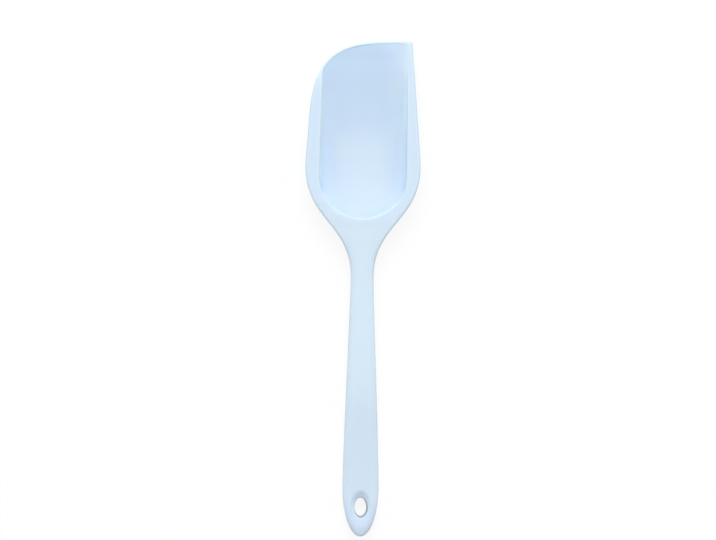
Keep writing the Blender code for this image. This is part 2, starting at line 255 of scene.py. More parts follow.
class SpatulaHeights(bpy.types.PropertyGroup):
    """Heights above the table, and how square the cross-sections are."""

    rim_z: length("Rim", "Top of the rim", SKIN_HIGH.z)
    tip_z: length("Tip top", "Top of the blade's edge", 0.0128)
    handle_top_z: length("Handle top", "Top of the handle's middle", 0.0124)
    handle_end_z: length("End top", "Top of the handle round its hole", 0.0083)
    handle_level_y: length("Level to", "Where the handle starts to fall to its end", -0.045)
    neck_top_z: length("Neck top", "Top of the neck", 0.0126)
    neck_under_z: length("Neck underside", "Underside of the neck", 0.0024)
    head_parting_z: length("Head parting", "Mould parting line round the head", 0.0120)
    tip_parting_z: length("Tip parting", "Mould parting line at the tip", 0.0119)
    tip_under_z: length("Tip underside", "Underside of the blade's edge", 0.0109)
    flat_press: length("Flat press", "How deep the resting flats are pressed", 0.0004)
    handle_flat: length("Handle flat", "Length of the handle's flat past its rounded end", 0.014)
    belly_setback: length("Belly setback", "From the bowl's end to the flat under it", 0.014)
    belly_reach: length("Belly reach", "From the deepest place to the end of the flat", 0.022)
    blade_length: length("Blade length", "The thin part behind the tip edge", 0.0166)
    blade_thick: length("Blade thickness", "Where the blade leaves the bowl", 0.0027)
    edge_round: length("Edge round", "Radius of the rim's outer edge", 0.0012)
    handle_power: fullness("Handle fullness", 3.4)
    belly_power: fullness("Belly fullness", 2.6)
    end_power: fullness("End fullness", 7.0)


class SpatulaBowl(bpy.types.PropertyGroup):
    """Sizes of the bowl, its lip and the hanging hole."""

    bowl_half: length("Bowl half-width", "Half the width of the bowl", 0.0254)
    bowl_end_y: length("Bowl end", "The bowl's end at the neck", 0.0409)
    bowl_end_round: length("Bowl end round", "Length of the bowl's rounded end", 0.0246)
    left_lean: length("Left lean", "How far the bowl's left side leans in by the shoulder", 0.0013)
    deep_y: length("Deepest place", "Where the bowl's floor is lowest", 0.077)
    floor_z: length("Bowl floor", "Height of the floor at its lowest", 0.0062)
    floor_bend: length("Floor bend", "Length over which the floor bends up to the blade", 0.036)
    left_lead: length("Left lead", "How much earlier the floor starts to rise at the left side", 0.018)
    right_lead: length("Right lead", "How much earlier the floor starts to rise at the right side", 0.021)
    level_soft: length("Level soft", "Depth below which the floor eases into the rim", 0.0006)
    lip: length("Lip", "Width of the lip round the blade", 0.0013)
    lip_height: length("Lip height", "Height of the lip where the floor is level with it", 0.0002)
    dish_side: fraction("Side dish", "Share of the depth that the floor rises by the side walls", 0.08)
    end_bend: length("End bend", "Length over which the floor bends up to the neck end", 0.018)
    end_slope: amount("End slope", "Steepness of the floor towards the neck end", 0.100)
    hang_y: length("Hanging hole", "Middle of the hanging hole", -0.1265)
    hang_half_x: length("Hole half-width", "Half the width of the hole", 0.0035)
    hang_half_y: length("Hole half-length", "Half the length of the hole", 0.0055)
    hole_drift: length("Hole drift", "How far the hole's waist lies to the left and the neck", 0.0003)
    hole_flare: length("Hole flare", "How much wider the hole's upper edge is at the lower right", 0.0009)
    dish_half_x: length("Dish half-width", "Half the width of the dish round the hole", 0.0062)
    dish_half_y: length("Dish half-length", "Half the length of the dish round the hole", 0.0097)
    dish_low_y: length("Dish low side", "From the hole's middle to the dish's edge at the end", 0.0120)
    dish_depth: length("Dish depth", "Depth of the dish on each face", 0.0018)
    dish_low_depth: length("Dish low depth", "Depth of the dish on its side at the hanging end", 0.0008)


class SpatulaFinish(bpy.types.PropertyGroup):
    """Colours and surface of each material."""

    skin_colour: colour("Silicone", "Colour of the thick silicone", (214, 231, 248))
    # The thin colour is partly the thin silicone's own tone and partly painted shade on the blade and
    # towards the side walls
    thin_colour: colour("Thin silicone", "Colour of the blade where it lets light through", (206, 227, 249))
    core_colour: colour("Nylon", "Colour of the core", (226, 226, 222))
    plug_colour: colour("Plug", "Colour of the locating plugs", (208, 226, 244))
    skin_roughness: fraction("Silicone roughness", "Roughness of the satin mould finish", 0.52)


class SpatulaStage(bpy.types.PropertyGroup):
    """Camera and light."""

    lens: amount("Lens", "Focal length in mm", 240.0)
    camera_height: length("Camera height", "Height of the camera over the table", 2.7785)
    camera_x: length("Camera X", "The camera stands over this place", -0.00246)
    camera_y: length("Camera Y", "The camera stands over this place", 0.0111)
    camera_roll: angle_size("Camera roll", "Turn of the camera on its axis", 0.00785)
    world_strength: amount("Room light", "Even light", 0.41)
    key_power: amount("Key light", "Watts of the soft box", 493.0)
    key_distance: length("Key distance", "From the tool to the soft box", 8.0)
    key_tilt: angle_size("Key tilt", "How far the soft box leans from overhead to the tip", 0.782)
    side_power: amount("Side lights", "Watts of each soft box at the sides", 35.5)
    side_distance: length("Side distance", "From the tool to each soft box at the sides", 6.0)
    side_height: angle_size("Side height", "How far the side soft boxes stand up from the table", 0.5236)
    floor_colour: colour("Floor", "Colour of the table", (236, 237, 239))
    floor_white: fraction("Floor white", "Share of plain white in the floor that the camera sees", 0.88)


def cubic(start, start_handle, end_handle, end):
    """Points along one Bezier piece."""
    t = np.linspace(0.0, 1.0, CURVE_STEPS)[:, None]
    ends = (1 - t) ** 3 * np.array(start) + t**3 * np.array(end)
    return ends + 3 * (1 - t) ** 2 * t * np.array(start_handle) + 3 * (1 - t) * t * t * np.array(end_handle)


def smooth(y, keys):
    """A curve through the key values that never overshoots them. keys holds (y, value) in rising y."""
    ys, values = (np.array(column) for column in zip(*keys))
    y = min(max(y, ys[0]), ys[-1])
    slopes = np.diff(values) / np.diff(ys)
    tangents = np.zeros(len(ys))
    same_way = slopes[1:] * slopes[:-1] > 0
    turns = 2 * slopes[1:] * slopes[:-1] / (slopes[1:] + slopes[:-1] + LEVEL)
    tangents[1:-1][same_way] = turns[same_way]
    index = min(int(np.searchsorted(ys, y, side="right")) - 1, len(ys) - 2)
    width = ys[index + 1] - ys[index]
    t = (y - ys[index]) / width
    blend = t * t * (3 - 2 * t)
    bends = tangents[index] * width * t * (1 - t) ** 2 - tangents[index + 1] * width * t * t * (1 - t)
    return float(values[index] + (values[index + 1] - values[index]) * blend + bends)


def fall(share, power):
    """How far a rounded end has fallen off at this share of its run, from 1 at its root to 0 at its tip."""
    return (1 - min(max(share, 0.0), 1.0) ** power) ** (1 / power)


def set_in(points, distance):
    """The same curve moved to its right, square to its own run."""
    runs = np.gradient(points, axis=0)
    runs /= np.linalg.norm(runs, axis=1)[:, None]
    return points + distance * np.column_stack((runs[:, 1], -runs[:, 0]))


def along_rays(points, hub, angles):
    """Where rays from the hub at these angles cross a curve that goes round it."""
    offsets = points - hub
    bearings = np.unwrap(np.arctan2(offsets[:, 1], offsets[:, 0]))
    order = np.argsort(bearings)
    return np.column_stack([np.interp(angles, bearings[order], points[order, axis]) for axis in (0, 1)])


def lined_up(x_at, start_y, end_y, points):
    """Places from start_y to end_y, each at the x that x_at gives for it."""
    return [(x_at(y), y) for y in np.linspace(start_y, end_y, points)]


def raised(places, height):
    """A point over each place, at the height that is found there."""
    return np.array([(x, y, height(x, y)) for x, y in places])


class Shape:
    """The outline and the heights that follow from the sizes in the sidebar."""

    def __init__(self, scene):
        self.o, self.h, self.b = scene.spatula_outline, scene.spatula_heights, scene.spatula_bowl
        o, b = self.o, self.b
        self.cap_y = o.end_y + o.end_round
        taper = np.array((-math.tan(o.side_taper), 1.0))
        head = np.array((o.head_half, o.head_wide_y))
        neck = (o.neck_half, o.neck_y)
        handle = cubic(
            (o.handle_half, self.cap_y),
            (o.handle_half, self.cap_y + o.handle_taper),
            (o.neck_half, o.neck_y - o.neck_taper),
            neck,
        )
        bell = cubic(neck, (o.neck_half, o.neck_y + o.neck_sweep), head - taper * o.head_sweep, head)
        self.side = np.vstack((handle, bell[1:]))
        turn_y = o.shoulder_y + o.shoulder_sweep
        self.shoulder = cubic(
            (-self.side_x(o.shoulder_y), o.shoulder_y),
            (-self.side_x(turn_y), turn_y),
            (o.shoulder_end_x - o.tip_sweep, o.tip_y),
            (o.shoulder_end_x, o.tip_y),
        )
        self.inner_shoulder = set_in(self.shoulder, b.lip)
        self.bowl_low = np.array((0.0, b.bowl_end_y + b.bowl_end_round))
        self.bowl_high = np.array((0.0, o.tip_y - TIP_HUB))
        self.hole = np.array((0.0, b.hang_y))

    def side_x(self, y):
        return self.o.head_half - (y - self.o.head_wide_y) * math.tan(self.o.side_taper)

    def half_width(self, y):
        if y >= self.o.head_wide_y:
            return self.side_x(y)
        if y <= self.cap_y:
            return self.o.handle_half * fall((self.cap_y - y) / self.o.end_round, 2.0)
        return float(np.interp(y, self.side[:, 1], self.side[:, 0]))

    def left_x(self, y):
        if y <= self.o.shoulder_y:
            return -self.half_width(y)
        return float(np.interp(y, self.shoulder[:, 1], self.shoulder[:, 0]))

    def bowl_left_x(self, y):
        """The bowl's left side, which leans in a little towards the shoulder."""
        start = self.bowl_low[1]
        run = max(0.0, (y - start) / (self.bowl_high[1] - start))
        return -self.b.bowl_half + self.b.left_lean * run

    def top_z(self, y):
        o, h, b = self.o, self.h, self.b
        return smooth(
            y,
            (
                (o.end_y, h.handle_end_z),
                (b.hang_y + b.hang_half_y, h.handle_end_z),
                (h.handle_level_y, h.handle_top_z),
                (o.neck_y, h.neck_top_z),
                (b.bowl_end_y, h.rim_z),
                (o.shoulder_y, h.rim_z),
                (o.tip_y, h.tip_z),
            ),
        )

    def ramp_z(self, y, lead=0.0):
        """The bowl's floor from its lowest place to the tip: it bends up, then runs straight to the lip."""
        o, h, b = self.o, self.h, self.b
        run = y - b.deep_y + lead
        whole = o.tip_y - b.lip - b.deep_y
        slope = (h.tip_z - b.lip_height - b.floor_z) / (whole - b.floor_bend / 2)
        bent = min(max(run, 0.0), b.floor_bend)
        return b.floor_z + slope * (bent**2 / (2 * b.floor_bend) + max(run, 0.0) - bent)

    def under_z(self, y):
        o, h, b = self.o, self.h, self.b
        blade_y = o.tip_y - h.blade_length
        return smooth(
            y,
            (
                (o.end_y, -h.flat_press),
                (self.cap_y + h.handle_flat, -h.flat_press),
                (o.neck_y, h.neck_under_z),
                (b.bowl_end_y + h.belly_setback, -h.flat_press),
                (b.deep_y + h.belly_reach, -h.flat_press),
                (blade_y, self.ramp_z(blade_y) - h.blade_thick),
                (o.tip_y, h.tip_under_z),
            ),
        )

    def head_share(self, y):
        """0 on the handle and 1 on the head."""
        return smooth(y, ((self.o.neck_y, 0.0), (self.b.bowl_end_y, 1.0)))

    def parting_z(self, y):
        handle = (self.top_z(y) + self.under_z(y)) / 2
        head = smooth(y, ((self.o.shoulder_y, self.h.head_parting_z), (self.o.tip_y, self.h.tip_parting_z)))
        return handle + (head - handle) * self.head_share(y)

    def end_fullness(self, y):
        return fall((self.cap_y - y) / self.o.end_round, self.h.end_power)

    def top_at(self, x, y, edge=1.0, edge_round=TINY):
        """Top surface at (x, y), which lies this far inside an outline whose edge has this radius."""
        middle = self.parting_z(y)
        share = self.head_share(y)
        rim = math.sqrt(1 - (1 - min(edge / edge_round, 1.0)) ** 2)
        handle = 0.0
        if share < 1:
            handle = fall(abs(x) / max(self.half_width(y), TINY), self.h.handle_power)
        lift = share * rim + (1 - share) * handle
        return middle + (self.top_z(y) - middle) * lift * self.end_fullness(y)

    def under_at(self, q, y):
        """Underside at y, this share of the way from the middle out to the outline."""
        middle = self.parting_z(y)
        power = smooth(y, ((self.o.neck_y, self.h.handle_power), (self.o.head_wide_y, self.h.belly_power)))
        z = middle - (middle - self.under_z(y)) * fall(q, power) * self.end_fullness(y)
        soft = self.h.flat_press * FLAT_EASE
        if abs(z) < soft:
            return (z + soft) ** 2 / (4 * soft)
        return max(z, 0.0)

    def handle_under(self, x, y):
        """Underside of the handle at (x, y)."""
        return self.under_at(abs(x) / max(self.half_width(y), TINY), y)

    def floor_at(self, x, y):
        """The bowl's floor at (x, y). It rises earlier at the sides, and comes level with the rim there."""
        b = self.b
        side = (x / b.bowl_half) ** 2
        lead = (b.left_lead if x < 0 else b.right_lead) * side
        top = self.top_z(y)
        run = max(0.0, b.deep_y - lead - y)
        bent = min(run, b.end_bend)
        end = b.end_slope * (bent**2 / (2 * b.end_bend) + run - bent)
        depth = (top - self.ramp_z(y, lead) - end) * (1 - b.dish_side * side)
        if depth <= b.level_soft:
            depth = max(0.0, depth + b.level_soft) ** 2 / (4 * b.level_soft)
        return top - max(depth, b.lip_height)


class Spoke:
    """One line of the cage from the outline in to its hub. In the head it crosses the bowl's edge."""

    def __init__(self, outer, hub, edge=None, kind="handle"):
        self.outer, self.hub = np.array(outer, float), np.array(hub, float)
        self.edge = self.hub if edge is None else np.array(edge, float)
        self.kind = kind
        self.inward = None
        self.spread = 1.0
        self.wide = float(np.linalg.norm(self.outer - self.hub))
        self.radius = float(np.linalg.norm(self.edge - self.hub))

    def out(self, share):
        """The place between the hub at 0 and the bowl's edge at 1."""
        return self.hub + (self.edge - self.hub) * share

    def beside_wall(self, low, high, height):
        """The place inside the bowl's edge, from low for the lowest wall to high for a full one."""
        inset = height * (low + (high - low) * (height - LOWEST_WALL) / (1 - LOWEST_WALL))
        return self.out(1 - inset / self.radius)


def across(start_x, y):
    """Places straight across the neck, from start_x to the same distance on the other side."""
    return np.column_stack((np.linspace(start_x, -start_x, NECK_COLUMNS + 1), np.full(NECK_COLUMNS + 1, y)))


def runs_along(spokes):
    """The way the outline runs past each spoke."""
    outers = np.array([spoke.outer for spoke in spokes])
    return np.roll(outers, -1, axis=0) - np.roll(outers, 1, axis=0)


def square_in(run):
    """The way in from the outline, square to its run."""
    return np.array((-run[1], run[0])) / np.linalg.norm(run)


def tip_loops(shape):
    """The outline and the bowl's edge round the tip, and the two ends of the outline's square corner."""
    o, b, start_y = shape.o, shape.b, shape.bowl_high[1]
    turns = np.radians(np.linspace(0, 90, QUARTER_POINTS))
    quarter = np.column_stack((np.cos(turns), np.sin(turns)))
    corner_y = o.tip_y - o.tip_corner
    corner = np.array((shape.side_x(corner_y) - o.tip_corner, corner_y)) + o.tip_corner * quarter
    right = lined_up(shape.side_x, start_y, corner_y, points=30)
    shoulder = shape.shoulder[::-1]
    shoulder = shoulder[shoulder[:, 1] > start_y + RUN_ON / 2]
    left = lined_up(shape.left_x, start_y + RUN_ON / 2, start_y - RUN_ON, points=5)
    outline = np.vstack((right, corner[1:], shoulder, left))

    inner = shape.inner_shoulder[::-1]
    inner = inner[inner[:, 0] > [shape.bowl_left_x(y) for y in inner[:, 1]]]
    bowl_corner = np.array((b.bowl_half - BOWL_CORNER, o.tip_y - b.lip - BOWL_CORNER))
    right = lined_up(lambda y: b.bowl_half, start_y, bowl_corner[1], points=20)
    left = lined_up(shape.bowl_left_x, inner[-1, 1], start_y - RUN_ON, points=12)[1:]
    bowl_edge = np.vstack((right, (bowl_corner + BOWL_CORNER * quarter)[1:], inner, left))
    return outline, bowl_edge, (corner[0], corner[-1])


def head_spokes(shape):
    """The head's spokes, from the left of the neck round the right side, the tip and the left side."""
    b, low, high = shape.b, shape.bowl_low, shape.bowl_high
    corner_x = shape.half_width(HEAD_CUT_Y)
    spokes = []

    def bowl_arc(angles):
        radius = 1 / np.hypot(np.cos(angles) / b.bowl_half, np.sin(angles) / b.bowl_end_round)
        return low + radius[:, None] * np.column_stack((np.cos(angles), np.sin(angles)))

    def add(outers, edges, hubs, kind):
        for outer, edge, hub in zip(outers, edges, hubs):
            spokes.append(Spoke(outer, hub, edge, kind))

    def add_side(ys, outer_x, edge_x):
        add([(outer_x(y), y) for y in ys], [(edge_x(y), y) for y in ys], [(0.0, y) for y in ys], "side")

    chord = across(-corner_x, HEAD_CUT_Y)
    offsets = chord - low
    add(chord, bowl_arc(np.arctan2(offsets[:, 1], offsets[:, 0])), [low] * len(chord), "neck")
    spokes[0].kind = spokes[-1].kind = "bell"

    bell = np.array(lined_up(shape.half_width, HEAD_CUT_Y, low[1], CURVE_STEPS))
    start = math.atan2(HEAD_CUT_Y - low[1], corner_x)
    bell_angles = np.linspace(start, 0.0, BELL_SPOKES + 1)[1:]
    right_bell = along_rays(bell, low, bell_angles)
    add(right_bell, bowl_arc(bell_angles), [low] * BELL_SPOKES, "bell")
    add_side(np.linspace(low[1], high[1], SIDE_SPOKES + 2)[1:-1], shape.half_width, lambda y: b.bowl_half)

    outline, bowl_edge, corner_ends = tip_loops(shape)
    first, last = (math.atan2(*(point - high)[::-1]) for point in corner_ends)
    gap = math.radians(CORNER_GAP)
    spans = ((0.0, first - gap), (first, last), (last + gap, math.pi))
    angles = np.concatenate([np.linspace(*span, count) for span, count in zip(spans, TIP_SPOKES)])
    add(along_rays(outline, high, angles), along_rays(bowl_edge, high, angles), [high] * len(angles), "tip")

    add_side(np.linspace(high[1], low[1], SIDE_SPOKES + 2)[1:-1], shape.left_x, shape.bowl_left_x)
    mirror = np.array((-1.0, 1.0))
    add(right_bell[::-1] * mirror, bowl_arc(bell_angles[::-1]) * mirror, [low] * BELL_SPOKES, "bell")

    for spoke, run in zip(spokes, runs_along(spokes)):
        normal = square_in(run)
        to_hub = (spoke.hub - spoke.outer) / spoke.wide
        spoke.inward = normal if spoke.kind == "bell" else to_hub
        spoke.spread = 1 / max(float(normal @ spoke.inward), 1 / MOST_SPREAD)
    ahead_y = HEAD_CUT_Y + RUN_ON / 2
    for index, side in ((0, -1.0), (NECK_COLUMNS, 1.0)):
        run = np.array((side * shape.half_width(ahead_y), ahead_y)) - (side * corner_x, HEAD_CUT_Y)
        spokes[index].inward = square_in(run) * side
        spokes[index].spread = 1.0
    return spokes


def edge_rows(shape, spoke, width):
    """The radius of the rim's edge, and how far inside the outline each row over and below it lies."""
    share = shape.head_share(spoke.outer[1])
    clear = float(np.linalg.norm(spoke.outer - spoke.edge)) - RIM_FLAT
    edge_round = min(shape.h.edge_round, clear * EDGE_SHARE)
    tops, unders = [], []
    for angle, side_angle in zip(EDGE_ANGLES, SIDE_ANGLES):
        rim = edge_round * (1 - math.cos(math.radians(angle))) * spoke.spread
        turn = math.cos(math.radians(side_angle))
        handle = width * (1 - turn ** (2 / shape.h.handle_power))
        tops.append(share * rim + (1 - share) * handle)
        power = shape.h.handle_power + (shape.h.belly_power - shape.h.handle_power) * share
        unders.append(width * (1 - turn ** (2 / power)))
    return edge_round, tops, unders[::-1]


def finish_rows(shape, spokes, rings):
    """Adds the row on the parting line, and lays each row straight across the neck, between its ends."""
    rings["parting"] = raised([spoke.outer for spoke in spokes], lambda x, y: shape.parting_z(y))
    for name, height in ((ROWS[0], shape.top_at), (ROWS[-1], shape.handle_under)):
        first, last = rings[name][0].copy(), rings[name][NECK_COLUMNS].copy()
        for index in range(1, NECK_COLUMNS):
            x, y, _ = first + (last - first) * index / NECK_COLUMNS
            rings[name][index] = (x, y, height(x, y))
    inside = slice(1, NECK_COLUMNS)
    for place, name in enumerate(ROWS[1:-1], 1):
        share = place / (len(ROWS) - 1)
        rings[name][inside] = rings[ROWS[0]][inside] * (1 - share) + rings[ROWS[-1]][inside] * share


def land_rings(inner, outer, height):
    """Two rings on the surface between an inner and an outer one."""
    return [raised(inner[:, :2] * (1 - share) + outer[:, :2] * share, height) for share in LAND_SHARES]


def under_point(shape, spoke, place):
    """The underside at this place of the spoke."""
    x, y = place
    if spoke.kind in ("bell", "neck"):
        return x, y, shape.handle_under(x, y)
    return x, y, shape.under_at(float(np.linalg.norm(place - spoke.hub)) / spoke.wide, y)


def head_rings(shape, spokes):
    """Rings of the head, from the bowl's middle line over the rim and in again along the underside."""
    rings = {}
    for index, out in enumerate(FLOOR_OUTS):
        rings[f"floor {index}"] = raised([spoke.out(out) for spoke in spokes], shape.floor_at)
    steps = [shape.top_z(spoke.edge[1]) - shape.floor_at(*spoke.edge) for spoke in spokes]
    walled = [(spoke, min(max(step / FULL_WALL, LOWEST_WALL), 1.0)) for spoke, step in zip(spokes, steps)]
    for name, low, high in FOOT_RINGS:
        places = [spoke.beside_wall(low, high, height) for spoke, height in walled]
        rings[name] = raised(places, shape.floor_at)
    for name, low, high, way, most, part in WALL_RINGS:
        points = []
        for (spoke, height), foot in zip(walled, rings["foot"]):
            x, y = spoke.beside_wall(low, high, height)
            top = shape.top_at(x, y)
            step = max(top - foot[2], 0.0)
            move = min(most, part * step)
            points.append((x, y, top - (step - move if way == "up" else move)))
        rings[name] = np.array(points)

    widths = [abs(spoke.outer[0]) if spoke.kind == "bell" else spoke.wide for spoke in spokes]
    rows = [edge_rows(shape, spoke, width) for spoke, width in zip(spokes, widths)]
    for row in range(len(EDGE_ANGLES)):
        tops, unders = [], []
        for spoke, (edge_round, over, below) in zip(spokes, rows):
            x, y = spoke.outer + spoke.inward * over[row]
            tops.append((x, y, shape.top_at(x, y, over[row] / spoke.spread, edge_round)))
            unders.append(under_point(shape, spoke, spoke.outer + spoke.inward * below[row]))
        rings[f"over {row}"], rings[f"below {row}"] = np.array(tops), np.array(unders)
    finish_rows(shape, spokes, rings)
    rings["rim 1"], rings["rim 2"] = land_rings(rings["rim in"], rings[ROWS[0]], shape.top_at)
    base = rings[ROWS[-1]][:, :2]
    for index, share in enumerate(UNDER_INS):
        places = [start + (spoke.hub - start) * share for spoke, start in zip(spokes, base)]
        points = [under_point(shape, spoke, place) for spoke, place in zip(spokes, places)]
        rings[f"under {index}"] = np.array(points)
    return rings


def neck_loop(rings, columns):
    """The loop round the faces where the handle leaves. columns lists its spokes, from left to right."""
    top = [rings[ROWS[0]][index] for index in columns]
    right = [rings[name][columns[-1]] for name in ROWS[1:-1]]
    under = [rings[ROWS[-1]][index] for index in reversed(columns)]
    left = [rings[name][columns[0]] for name in reversed(ROWS[1:-1])]
    return np.array(top + right + under + left)


def handle_section(shape, y):
    """The loop round the handle at y, with its points in the same order as neck_loop."""
    half = shape.half_width(y)
    edge_round, tops, unders = edge_rows(shape, Spoke((half, y), (0.0, y)), half)
    top = raised(across(tops[0] - half, y), shape.top_at)
    under = raised(across(half - unders[-1], y), shape.handle_under)
    sides = [(half - inside, shape.top_at(half - inside, y, inside, edge_round)) for inside in tops[1:]]
    sides.append((half, shape.parting_z(y)))
    sides += [(half - inside, shape.handle_under(half - inside, y)) for inside in unders[:-1]]
    right = [(x, y, z) for x, z in sides]
    left = [(-x, y, z) for x, z in reversed(sides)]
    return np.vstack((top, right, under, left))


def end_spokes(shape):
    """Spokes of the handle's end, from the outline in to the middle of the hanging hole."""
    o, hub = shape.o, shape.hole
    corner_x = shape.half_width(END_CUT_Y)
    turns = np.linspace(math.pi / 2, 0.0, CURVE_STEPS)
    cap = np.column_stack((-o.handle_half * np.sin(turns), shape.cap_y - o.end_round * np.cos(turns)))
    side = lined_up(lambda y: -shape.half_width(y), END_CUT_Y, shape.cap_y, points=8)[:-1]
    start = math.atan2(END_CUT_Y - hub[1], -corner_x)
    angles = np.linspace(start, 1.5 * math.pi, END_SPOKES + 1)[1:]
    left = along_rays(np.vstack((side, cap)), hub, angles)
    right = left[:-1][::-1] * (-1.0, 1.0)
    spokes = [Spoke(outer, hub) for outer in np.vstack((across(corner_x, END_CUT_Y), left, right))]
    for spoke, run in zip(spokes, runs_along(spokes)):
        spoke.inward = square_in(run)
    spokes[0].inward, spokes[NECK_COLUMNS].inward = np.array((-1.0, 0.0)), np.array((1.0, 0.0))
    return spokes


def dish_ring(shape, spokes, out, down, top):
    """One ring of the dish round the hanging hole. The dish gets shallower towards the hanging end."""
    b, hub = shape.b, shape.hole
    points = []
    for spoke in spokes:
        angle = math.atan2(*(spoke.outer - hub)[::-1])
        dish_y = b.dish_half_y if angle > 0 else b.dish_low_y
        half_x = b.hang_half_x + (b.dish_half_x - b.hang_half_x) * out
        half_y = b.hang_half_y + (dish_y - b.hang_half_y) * out
        reach = 1 / math.hypot(math.cos(angle) / half_x, math.sin(angle) / half_y)
        if top:
            lower_right = max(0.0, math.cos(angle + math.pi / 4))
            reach += b.hole_flare * lower_right * min(max(1 - out / FLARE_OUT, 0.0), 1.0)
        x, y = hub + reach * np.array((math.cos(angle), math.sin(angle)))
        to_end = 0.5 - 0.5 * (y - hub[1]) / math.hypot(x, y - hub[1])
        depth = down * (b.dish_depth + (b.dish_low_depth - b.dish_depth) * to_end)
        points.append((x, y, shape.top_at(x, y) - depth if top else shape.handle_under(x, y) + depth))
    return np.array(points)


def end_rings(shape, spokes):
    """Rings of the handle's end, from the middle of the hole's wall up, round and back in from below."""
    drift = shape.b.hole_drift
    rings = {}
    for name, out, down in DISH_RINGS:
        rings[f"{name} top"] = dish_ring(shape, spokes, out, down, True)
        rings[f"{name} under"] = dish_ring(shape, spokes, out, down, False)
    rings["hole"] = (rings["wall top"] + rings["wall under"]) / 2 + (-drift, drift, 0.0)
    rows = [edge_rows(shape, spoke, shape.o.handle_half) for spoke in spokes]
    for row in range(len(EDGE_ANGLES)):
        overs = [spoke.outer + spoke.inward * tops[row] for spoke, (_, tops, _) in zip(spokes, rows)]
        belows = [spoke.outer + spoke.inward * unders[row] for spoke, (_, _, unders) in zip(spokes, rows)]
        rings[f"over {row}"] = raised(overs, shape.top_at)
        rings[f"below {row}"] = raised(belows, shape.handle_under)
    finish_rows(shape, spokes, rings)
    for face, edge, height in (("top", ROWS[0], shape.top_at), ("under", ROWS[-1], shape.handle_under)):
        lands = land_rings(rings[f"brim {face}"], rings[edge], height)
        rings[f"land 1 {face}"], rings[f"land 2 {face}"] = lands
    return rings


def merge_all():
    """Joins points of the cage that lie in the same place, and leaves all of it selected."""
    bpy.ops.mesh.select_all(action="SELECT")
    bpy.ops.mesh.remove_doubles(threshold=MERGE)


def empty_cage(name):
    """A new object in edit mode, with nothing in it yet."""
    bpy.ops.object.select_all(action="DESELECT")
    bpy.ops.mesh.primitive_circle_add(vertices=3, radius=0.001)
    obj = bpy.context.active_object
    obj.name = obj.data.name = name
    bpy.ops.object.mode_set(mode="EDIT")
    bpy.ops.mesh.select_all(action="SELECT")
    bpy.ops.mesh.delete(type="VERT")
    bpy.ops.mesh.select_mode(type="EDGE")
    return obj


def extrude_to(obj, old, new):
    """Extrudes the selected loop, and moves each point from its place in old to the same place in new."""
    bpy.ops.mesh.extrude_region_move()
    cage = bmesh.from_edit_mesh(obj.data)
    for vertex in cage.verts:
        if vertex.select:
            nearest = int(np.argmin(np.sum((old - np.array(vertex.co)) ** 2, axis=1)))
            vertex.co = new[nearest]
    bmesh.update_edit_mesh(obj.data)


def select_edges(obj, wanted):
    """Selects the edges for which wanted(edge) is true, and nothing else."""
    bpy.ops.mesh.select_all(action="DESELECT")
    cage = bmesh.from_edit_mesh(obj.data)
    for edge in cage.edges:
        if wanted(edge):
            edge.select_set(True)
    bmesh.update_edit_mesh(obj.data)


def add_loop(obj, points):
    """Adds a circle with one vertex for each point, and shapes it into that loop."""
    count = len(points)
    centre = points.mean(axis=0)
    radius = float(np.abs(points[:, 0] - centre[0]).max())
    bpy.ops.mesh.select_all(action="DESELECT")
    bpy.ops.mesh.primitive_circle_add(vertices=count, radius=radius, location=centre)
    cage = bmesh.from_edit_mesh(obj.data)
    fresh = [vertex for vertex in cage.verts if vertex.select]
    fresh.sort(key=lambda vertex: math.atan2(vertex.co.y - centre[1], vertex.co.x - centre[0]))
    bearings = np.arctan2(points[:, 1] - centre[1], points[:, 0] - centre[0])
    start = int(np.argmin(bearings))
    turn = 1 if (bearings[(start + 1) % count] - bearings[start]) > 0 else -1
    for step, vertex in enumerate(fresh):
        vertex.co = points[(start + turn * step) % count]
    bmesh.update_edit_mesh(obj.data)


def extrude_rings(obj, rings, order):
    add_loop(obj, rings[order[0]])
    for before, after in zip(order, order[1:]):
        extrude_to(obj, rings[before], rings[after])


def drop_neck_faces(obj, loop):
    """Deletes the faces that lie inside the loop where the handle leaves."""
    low, high = loop.min(axis=0) - MERGE, loop.max(axis=0) + MERGE
    bpy.ops.mesh.select_all(action="DESELECT")
    bpy.ops.mesh.select_mode(type="FACE")
    cage = bmesh.from_edit_mesh(obj.data)
    for face in cage.faces:
        points = np.array([vertex.co for vertex in face.verts])
        near = [np.min(np.linalg.norm(loop - point, axis=1)) < MERGE for point in points]
        within = bool((points >= low).all() and (points <= high).all())
        if within and (not all(near) or abs(face.normal.y) > SPANNING):
            face.select_set(True)
    bmesh.update_edit_mesh(obj.data)
    bpy.ops.mesh.delete(type="FACE")
    bpy.ops.mesh.select_mode(type="EDGE")


def select_loop(obj, loop):
    """Selects the open edges that join points of this loop."""

    def on_loop(edge):
        if not edge.is_boundary:
            return False
        return all(np.min(np.linalg.norm(loop - np.array(v.co), axis=1)) < MERGE for v in edge.verts)

    select_edges(obj, on_loop)


def extrude_handle(obj, shape, head, end):
    """Opens the head and the end where they face each other, and runs the handle from one to the other."""
    columns = list(range(NECK_COLUMNS + 1))
    loop, end_loop = neck_loop(head, columns), neck_loop(end, columns[::-1])
    drop_neck_faces(obj, loop)
    drop_neck_faces(obj, end_loop)
    select_loop(obj, loop)
    for y in np.linspace(HEAD_CUT_Y, END_CUT_Y, HANDLE_LOOPS + 2)[1:-1]:
        section = handle_section(shape, y)
        extrude_to(obj, loop, section)
        loop = section
    extrude_to(obj, loop, end_loop)
    merge_all()


def check_closed(obj):
    open_edges = sum(not edge.is_manifold for edge in bmesh.from_edit_mesh(obj.data).edges)
    if open_edges:
        raise RuntimeError(f"the cage of {obj.name} has {open_edges} open edges")


